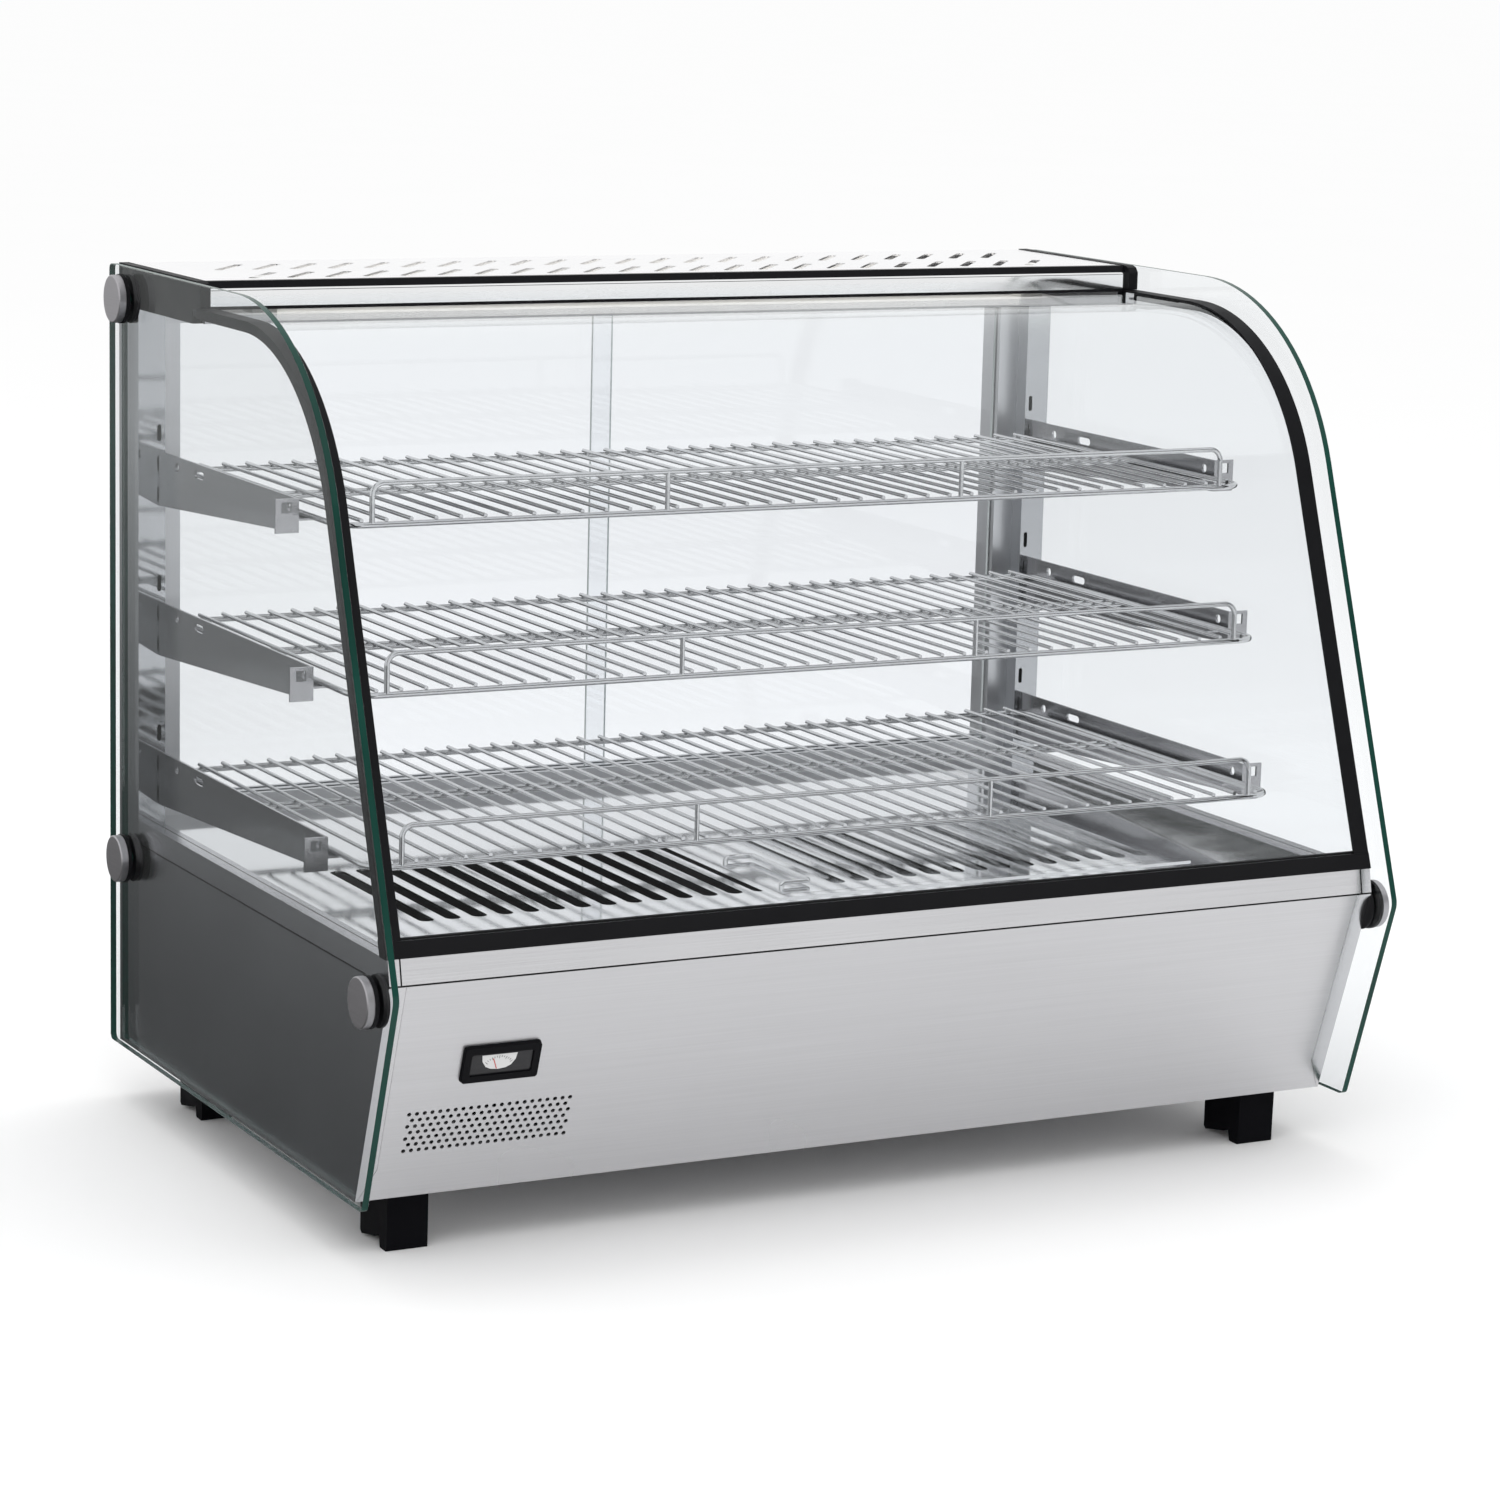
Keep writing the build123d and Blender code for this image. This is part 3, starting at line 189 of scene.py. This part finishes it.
def clear_glass(name, tint, edge=None, edge_axis=0):
    """A clear pane: what is behind it shows through, and more is mirrored at a shallow angle.

    Where the surface turns away from edge_axis it is a cut edge, in the edge colour.
    """
    made = Finish(name, (0.93, 0.96, 0.95), 0.01, 1.0)
    made.roughness(made.noise((12, 12, 12), 4.0), 0.004, 0.02, 0.4, 0.8)
    through = made.add("ShaderNodeBsdfTransparent")
    through.inputs["Color"].default_value = (*tint, 1)
    facing = made.add("ShaderNodeLayerWeight")
    facing.inputs["Blend"].default_value = 0.5
    steep = made.add("ShaderNodeMath", operation="POWER")
    steep.inputs[1].default_value = MIRROR_POWER
    made.join(facing.outputs["Facing"], steep.inputs[0])
    mirror = made.add("ShaderNodeMath", operation="MULTIPLY_ADD")
    mirror.inputs[1].default_value = MIRROR_GAIN
    mirror.inputs[2].default_value = MIRROR_LEAST
    made.join(steep.outputs[0], mirror.inputs[0])
    pane = made.add("ShaderNodeMixShader")
    made.join(mirror.outputs[0], pane.inputs[0])
    made.join(through.outputs[0], pane.inputs[1])
    made.join(made.bsdf.outputs[0], pane.inputs[2])
    surface = pane.outputs[0]
    if edge:
        rim = made.add("ShaderNodeBsdfPrincipled")
        made.join(made.blend(made.noise((3, 9, 9), 2.0), edge, shade(edge, 6)), rim.inputs["Base Color"])
        rim.inputs["Roughness"].default_value = EDGE_ROUGH
        rim.inputs["Specular IOR Level"].default_value = EDGE_SHINE
        parts = made.add("ShaderNodeSeparateXYZ")
        made.join(made.add("ShaderNodeNewGeometry").outputs["Normal"], parts.inputs[0])
        size = made.add("ShaderNodeMath", operation="ABSOLUTE")
        made.join(parts.outputs[edge_axis], size.inputs[0])
        side = made.add("ShaderNodeMath", operation="LESS_THAN")
        side.inputs[1].default_value = CUT_EDGE_TURN
        made.join(size.outputs[0], side.inputs[0])
        both = made.add("ShaderNodeMixShader")
        made.join(side.outputs[0], both.inputs[0])
        made.join(surface, both.inputs[1])
        made.join(rim.outputs[0], both.inputs[2])
        surface = both.outputs[0]
    made.join(surface, made.out.inputs["Surface"])
    return made.mat


STEEL = (0.575, 0.575, 0.59)
GREEN_EDGE = (0.0015, 0.012, 0.009)
DOOR_EDGE = (0.20, 0.27, 0.25)
GRAIN_X = (6, 700, 700)  # streaks along X
GRAIN_Y = (700, 6, 700)  # streaks along Y
# Painted shade, drawn black in gaps of the sheet metal: axis, and the distances from the middle between
# which it lies. UNDER_RIM is the shadow gap under the rim, RIM_JOINT the rim's mitred joint at each end.
UNDER_RIM = (2, 0.21355, 0.2151)
RIM_JOINT = (0, 0.4014, 0.4026)
finishes = {
    "glass_side": clear_glass("side glass", (0.962, 0.97, 0.976), GREEN_EDGE, 0),
    "glass_door": clear_glass("door glass", (0.962, 0.968, 0.976), DOOR_EDGE, 1),
    "glass_front": clear_glass("curved glass", (0.968, 0.974, 0.982)),
    "steel_x": brushed("brushed steel", STEEL, 0.30, GRAIN_X, 0.07, UNDER_RIM),
    "steel_rim": brushed("brushed steel rim", shade(STEEL, 1.08), 0.24, GRAIN_X, 0.07, RIM_JOINT),
    "steel_side": brushed("brushed steel side", STEEL, 0.21, GRAIN_Y, 0.05, UNDER_RIM),
    # the brackets are the same steel made darker as painted shade, standing in for the shade and dark
    # reflections on their faces
    "steel_bracket": brushed("satin bracket steel with painted shade", shade(STEEL, 0.74), 0.20, GRAIN_Y, 0.06),
    "steel_top": brushed("brushed top cover", (0.86, 0.86, 0.87), 0.20, GRAIN_X, 0.04),
    "steel_plain": brushed("plain sheet steel", shade(STEEL, 0.85), 0.38, GRAIN_X),
    "steel_dark": brushed("heat shield steel", (0.30, 0.30, 0.305), 0.45, GRAIN_X),
    "polished": polished("polished steel", (0.84, 0.845, 0.85), 0.06),
    "post": polished("polished post", (0.50, 0.51, 0.525), 0.05),
    "wire": polished("chrome wire", (0.62, 0.625, 0.63), 0.12),
    "cap": brushed("satin button", (0.42, 0.412, 0.43), 0.42, (700, 30, 700), 0.10),
    "zinc": polished("zinc fasteners", (0.62, 0.62, 0.60), 0.28),
    "rubber": moulded("black rubber", (0.006, 0.006, 0.007), 0.5, shine=0.10),
    "foot": moulded("foot plastic", (0.004, 0.004, 0.005), 0.6, 500, 0.0003, shine=0.02),
    "black": moulded("black plastic", (0.004, 0.004, 0.005), 0.35, 1200, 0.0001, shine=0.06),
    "white": moulded("white plastic", (0.78, 0.78, 0.76), 0.45, lift=1.06),
    "smoked": moulded("smoked window", (0.016, 0.016, 0.018), 0.08, 60, 0.0001, shine=0.35),
    # the diffuser's glow is painted light: it stands in for the lamp tube's light shining through it
    "frosted": moulded("frosted plastic with painted glow", (0.80, 0.80, 0.79), 0.55, 400, 0.0003, 1.05, glow=0.25),
    "lamp": moulded("lamp tube", (0.86, 0.86, 0.84), 0.4, 400, 0.0003, 1.05, glow=0.8),
    "green": moulded("green plastic", (0.02, 0.30, 0.06), 0.22),
    "amber": moulded("amber plastic", (0.55, 0.20, 0.02), 0.22),
    "bakelite": moulded("brown moulding", (0.16, 0.11, 0.07), 0.5),
    "aluminium": brushed("satin aluminium", (0.66, 0.665, 0.68), 0.34, (700, 700, 8), 0.05),
    "track": brushed("satin aluminium track", (0.62, 0.625, 0.64), 0.34, GRAIN_X, 0.05),
    "sheath": moulded("element sheath", (0.10, 0.09, 0.085), 0.45, metal=0.7),
    "dial": moulded("dial card", (0.62, 0.62, 0.62), 0.5, lift=1.08),
    "ink": moulded("dial ink", (0.02, 0.02, 0.02), 0.5),
    "pointer": moulded("dial pointer", (0.45, 0.02, 0.015), 0.4),
}

node_finish = {
    "glass_side": ["side_glass_left", "side_glass_right"],
    "glass_door": ["door_left_glass", "door_right_glass"],
    "glass_front": ["front_glass"],
    "steel_x": ["front_panel", "rear_panel", "control_recess"],
    "steel_top": ["housing_cover"],
    "steel_rim": ["top_rim"],
    "steel_side": ["side_panel_left", "side_panel_right"],
    "steel_plain": ["base_pan", "housing_tray"],
    "steel_dark": ["heat_shield"],
    "steel_bracket": [n for n in nodes if n.startswith("bracket_")],
    "polished": ["floor_plate", "tray_lid", "water_tray", "housing_front"],
    "post": ["rear_post_left", "rear_post_right"],
    "wire": ["shelf_upper", "shelf_middle", "shelf_lower"],
    "cap": ["glass_button_caps"],
    "zinc": ["glass_bolts", "glass_nuts", "rear_screws"],
    "rubber": ["front_glass_seals", "side_seal_left", "side_seal_right", "glass_washers", "end_gaskets"],
    "foot": ["feet"],
    "black": ["housing_trim", "thermostat_knob", "power_switch", "light_switch", "cable_gland",
              "thermometer_case"],
    "white": ["lamp_holders", "terminal_block"],
    "smoked": ["thermometer_window"],
    "frosted": ["lamp_diffuser"],
    "lamp": ["lamp_tube"],
    "green": ["power_rocker"],
    "amber": ["light_rocker"],
    "bakelite": ["thermostat"],
    "aluminium": ["door_stiles"],
    "track": ["door_track_upper", "door_track_lower"],
    "sheath": ["heating_element"],
}
for finish, names in node_finish.items():
    for name in names:
        mesh = nodes[name].data
        mesh.materials.clear()
        mesh.materials.append(finishes[finish])
unfinished = set(nodes) - {n for names in node_finish.values() for n in names}
if unfinished:
    raise ValueError(f"no finish for {sorted(unfinished)}")


# ---------------------------------------------------------------- small fittings
def new_mesh(name, build, finish, body):
    """A mesh object made by build(bm), finished and riding on a CAD body."""
    mesh = bpy.data.meshes.new(name)
    bm = bmesh.new()
    build(bm)
    bmesh.ops.recalc_face_normals(bm, faces=bm.faces)
    bm.to_mesh(mesh)
    bm.free()
    obj = bpy.data.objects.new(name, mesh)
    scene.collection.objects.link(obj)
    mesh.materials.append(finishes[finish])
    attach(obj, body)


def rounded_edges(obj, width):
    bevel = obj.modifiers.new("rounded edges", "BEVEL")
    bevel.width = width
    bevel.segments = 2
    bevel.limit_method = "ANGLE"
    bevel.angle_limit = radians(40)


def slab(bm, frame_of, outline, low, high):
    """A closed slab with this outline, a list of (u, v), between two heights over a plane."""
    bottom = [bm.verts.new(frame_of(u, v, low)) for u, v in outline]
    top = [bm.verts.new(frame_of(u, v, high)) for u, v in outline]
    bm.faces.new(bottom)
    bm.faces.new(list(reversed(top)))
    for i, vert in enumerate(bottom):
        j = (i + 1) % len(bottom)
        bm.faces.new((vert, top[i], top[j], bottom[j]))


def stroke(start, end, width):
    """The outline of a straight mark from start to end."""
    along = (Vector(end) - Vector(start)).normalized()
    across = Vector((-along.y, along.x)) * width / 2
    a, b = Vector(start), Vector(end)
    return [tuple(a - across), tuple(b - across), tuple(b + across), tuple(a + across)]


def polar(radius, degrees, middle=(0, 0)):
    return (middle[0] + radius * cos(radians(degrees)), middle[1] + radius * sin(radians(degrees)))


def widest_face(name, direction, same_plane=0.999, flatness=0.0001):
    """Middle and normal of the outermost plane of a node that faces a direction."""
    mesh = nodes[name].data
    facing = [p for p in mesh.polygons if p.normal.dot(Vector(direction)) > 0.8]
    best = max(facing, key=lambda p: p.area).normal.copy()
    reach = max(best.dot(p.center) for p in facing if p.normal.dot(best) > same_plane)
    outer = [p for p in facing
             if best.dot(p.center) > reach - flatness and p.normal.dot(best) > same_plane]
    middle = sum((p.center * p.area for p in outer), Vector()) / sum(p.area for p in outer)
    return middle, best


def thermometer_dial():
    """A fan-shaped dial behind the window, with a tick ring and a pointer."""
    middle, normal = widest_face("thermometer_window", (0, -1, 0))
    across = Vector((1, 0, 0))
    upward = normal.cross(across)

    def place(u, v, lift):
        return middle + across * (u - 0.002) + upward * (v + 0.001) + normal * lift

    fan_top, fan_low, hub = 0.0062, -0.0062, (0, -0.0085)
    right = [(0.0136, fan_top), (0.0128, 0.001), (0.0098, -0.0035), (0.006, fan_low + 0.0008)]
    left = [(-u, v) for u, v in reversed(right)]
    fan = [left[-1], *right, (0, fan_low), *left[:-1]]
    tick_ring, long_tick, short_tick = 0.0137, 0.0112, 0.0122

    def ticks(bm):
        for step in range(13):
            angle = 40 + step * 100 / 12
            inner = long_tick if step % 3 == 0 else short_tick
            tick = stroke(polar(inner, angle, hub), polar(tick_ring, angle, hub), 0.00035)
            slab(bm, place, tick, 0.0002, 0.0003)

    new_mesh("thermometer_dial", lambda bm: slab(bm, place, fan, 0.00005, 0.0002), "dial", "case")
    new_mesh("thermometer_ticks", ticks, "ink", "case")
    needle = stroke(polar(0.003, 112, hub), polar(0.0125, 112, hub), 0.0006)
    new_mesh("thermometer_pointer", lambda bm: slab(bm, place, needle, 0.0003, 0.0004), "pointer", "case")


def thermostat_scale():
    """Tick marks on the panel, round the thermostat knob."""
    knob_low, knob_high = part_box("thermostat_knob")
    middle_x, middle_z = (knob_low[0] + knob_high[0]) / 2, (knob_low[2] + knob_high[2]) / 2
    face_y = knob_low[1]
    reach = (knob_high[0] - knob_low[0]) / 2

    def marks(bm):
        def place(u, v, lift):
            return Vector((middle_x + u, face_y + lift, middle_z + v))

        for step in range(10):
            angle = 225 - step * 30
            tick = stroke(polar(reach + 0.0015, angle), polar(reach + 0.005, angle), 0.0009)
            slab(bm, place, tick, 0, 0.0002)

    new_mesh("thermostat_marks", marks, "ink", "case")


thermometer_dial()
thermostat_scale()
for name, width in (("feet", 0.0008), ("housing_trim", 0.0006), ("housing_front", 0.0005),
                    ("end_gaskets", 0.0008), ("thermostat_knob", 0.0006), ("glass_washers", 0.0004)):
    rounded_edges(nodes[name], width)


# ---------------------------------------------------------------- studio
def flat_sheet(name, corners, material):
    """A flat sheet that belongs to the studio."""
    mesh = bpy.data.meshes.new(name)
    mesh.from_pydata([Vector(c) for c in corners], [], [range(len(corners))])
    mesh.materials.append(material)
    obj = bpy.data.objects.new(name, mesh)
    scene.collection.objects.link(obj)
    return obj


def flag(name, corners, axis, start, end, dark, bright, power=1.0):
    """A dark studio card that only mirrors show. It goes from dark to bright along an axis."""
    made = Finish(name, (0, 0, 0), 1.0)
    parts = made.add("ShaderNodeSeparateXYZ")
    made.join(made.coords, parts.inputs[0])
    share = made.add("ShaderNodeMapRange")
    for key, value in zip(("From Min", "From Max"), (start, end)):
        share.inputs[key].default_value = value
    made.join(parts.outputs[axis], share.inputs["Value"])
    curve = made.add("ShaderNodeMath", operation="POWER")
    curve.inputs[1].default_value = power
    made.join(share.outputs[0], curve.inputs[0])
    light = made.add("ShaderNodeEmission")
    made.join(made.blend(curve.outputs[0], (dark,) * 3, (bright,) * 3), light.inputs["Color"])
    made.join(light.outputs[0], made.out.inputs["Surface"])
    made.mat.cycles.emission_sampling = "NONE"
    card = flat_sheet(name, corners, made.mat)
    card.visible_camera = card.visible_diffuse = card.visible_shadow = False
    card.visible_transmission = card.visible_volume_scatter = False


def upright(start, end, low, high):
    """Corners of an upright card over the line from start to end."""
    return [(*start, low), (*end, low), (*end, high), (*start, high)]


CARD_LIFT = 0.002  # the left card lies this far over the floor
FLOOR_HALF = 120
SKY_STRENGTH = 1.03
AIM = Vector((0, 0, 0.35))


def studio():
    pale = Finish("pale floor", (0.95, 0.95, 0.95), 0.9)
    pale.bsdf.inputs["Specular IOR Level"].default_value = 0.0
    pale.color(pale.noise((2, 2, 2), 2.0), (0.945, 0.945, 0.945), (0.955, 0.955, 0.955))
    corners = ((-1, -1), (1, -1), (1, 1), (-1, 1))
    flat_sheet("floor", [(x * FLOOR_HALF, y * FLOOR_HALF, 0) for x, y in corners], pale.mat)

    beside = ((-9, -3.2), (-0.44, -3.2), (-0.44, 0.45), (0.0, 0.8), (0.0, 14), (-9, 14))
    flag("flag left", [(x, y, CARD_LIFT) for x, y in beside],
         axis=0, start=-0.46, end=-1.96, dark=0.08, bright=0.50, power=1.2)
    flag("flag right", upright((1.05, 0.1), (1.05, 3.4), 0, 0.51),
         axis=2, start=0.25, end=0.51, dark=0.03, bright=0.08)
    flag("flag front", upright((0.1, -3.0), (2.9, -2.2), 0.95, 2.4),
         axis=2, start=0.95, end=2.4, dark=0.25, bright=0.10)

    world = bpy.data.worlds.new("studio")
    scene.world = world
    world.use_nodes = True
    background = world.node_tree.nodes["Background"]
    background.inputs["Color"].default_value = (1, 1, 1, 1)
    background.inputs["Strength"].default_value = SKY_STRENGTH

    for name, place, size, power in (
        ("key light", (-1.4, -2.2, 3.0), (2.4, 1.6), 22),
        ("top light", (0.2, 0.8, 3.2), (2.6, 1.8), 16),
    ):
        lamp = bpy.data.lights.new(name, "AREA")
        lamp.shape = "RECTANGLE"
        lamp.size, lamp.size_y = size
        lamp.energy = power
        obj = bpy.data.objects.new(name, lamp)
        obj.location = place
        obj.rotation_mode = "QUATERNION"
        obj.rotation_quaternion = (Vector(place) - AIM).to_track_quat("Z", "Y")
        obj.visible_glossy = False
        scene.collection.objects.link(obj)


CAMERA_PLACE = Vector((-1.5720, -2.9916, 0.9540))
YAW, PITCH, ROLL = radians(-27.774), radians(10.850), radians(1.486)
FOCAL_IN_FRAMES = 2.94469333  # focal length over the frame's width


def camera():
    back = Vector((sin(YAW) * cos(PITCH), -cos(YAW) * cos(PITCH), sin(PITCH)))
    right = Vector((cos(YAW), sin(YAW), 0))
    up = back.cross(right)
    turned_right = cos(ROLL) * right + sin(ROLL) * up
    turned_up = cos(ROLL) * up - sin(ROLL) * right
    lens = bpy.data.cameras.new("camera")
    lens.sensor_width = 36
    lens.lens = FOCAL_IN_FRAMES * lens.sensor_width
    lens.clip_start, lens.clip_end = 0.05, 100
    cam = bpy.data.objects.new("camera", lens)
    basis = Matrix((turned_right, turned_up, back)).transposed()
    cam.matrix_world = Matrix.Translation(CAMERA_PLACE) @ basis.to_4x4()
    scene.collection.objects.link(cam)
    scene.camera = cam


studio()
camera()
scene.view_settings.view_transform = "Standard"
scene.cycles.max_bounces = 24
scene.cycles.transmission_bounces = 20
scene.cycles.transparent_max_bounces = 32
scene.cycles.glossy_bounces = 6
scene.cycles.diffuse_bounces = 3
